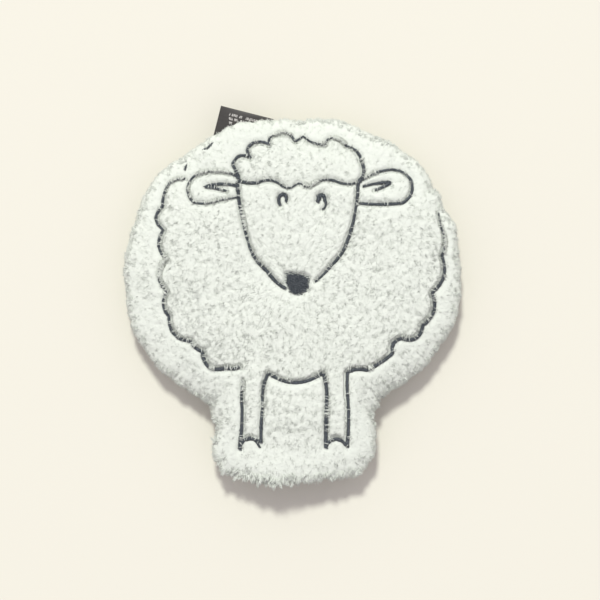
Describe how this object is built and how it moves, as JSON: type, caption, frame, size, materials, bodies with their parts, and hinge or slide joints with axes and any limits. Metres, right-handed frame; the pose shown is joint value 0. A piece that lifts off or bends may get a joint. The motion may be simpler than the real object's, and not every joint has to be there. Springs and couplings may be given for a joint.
{
  "type": "wash mitt",
  "caption": "Flat padded wash mitt in long off-white pile, round with a squared lower end, a sheep embroidered on the front, a folded label in the edge seam and a hand pocket.",
  "frame": {"origin": "middle of the round body, on the flat of the back that the mitt lies on", "axes": "+Z out of the embroidered front, +Y towards the head, hand opening towards -Y, +X to the right as seen from the front"},
  "size_m": [0.236, 0.2596, 0.0357],
  "materials": {
    "pile_fabric": "long curly off-white pile",
    "wadding": "loose white fibre",
    "lining": "plain weave, off-white",
    "binding_tape": "woven tape, off-white",
    "seam_thread": "twisted thread",
    "embroidery_thread": "slate satin stitch",
    "label_ribbon": "dark ribbon with pale print"
  },
  "bodies": {
    "mitt": {"front_panel": "pile_fabric", "back_panel": "pile_fabric", "front_wadding": "wadding", "back_wadding": "wadding", "front_lining": "lining", "back_lining": "lining", "side_seam": "seam_thread", "mouth_binding": "binding_tape", "mouth_stitching": "seam_thread", "forelock": "embroidery_thread", "brow_line": "embroidery_thread", "face_left": "embroidery_thread", "face_right": "embroidery_thread", "eye_left": "embroidery_thread", "eye_right": "embroidery_thread", "nose": "embroidery_thread", "ear_left": "embroidery_thread", "ear_right": "embroidery_thread", "ear_fold_left": "embroidery_thread", "ear_fold_right": "embroidery_thread", "fleece_left": "embroidery_thread", "fleece_right": "embroidery_thread", "fleece_top": "embroidery_thread", "belly_line": "embroidery_thread", "leg_left": "embroidery_thread", "leg_right": "embroidery_thread", "hoof_left": "embroidery_thread", "hoof_right": "embroidery_thread"},
    "label": {"care_label": "label_ribbon"}
  },
  "joints": [
    {"name": "label_flap", "type": "hinge", "parent": "mitt", "child": "label", "pos_m": [-0.03574, 0.0973, 0.01766], "axis": [-0.9527, -0.3041, 0], "range_deg": [-28, 28]}
  ]
}
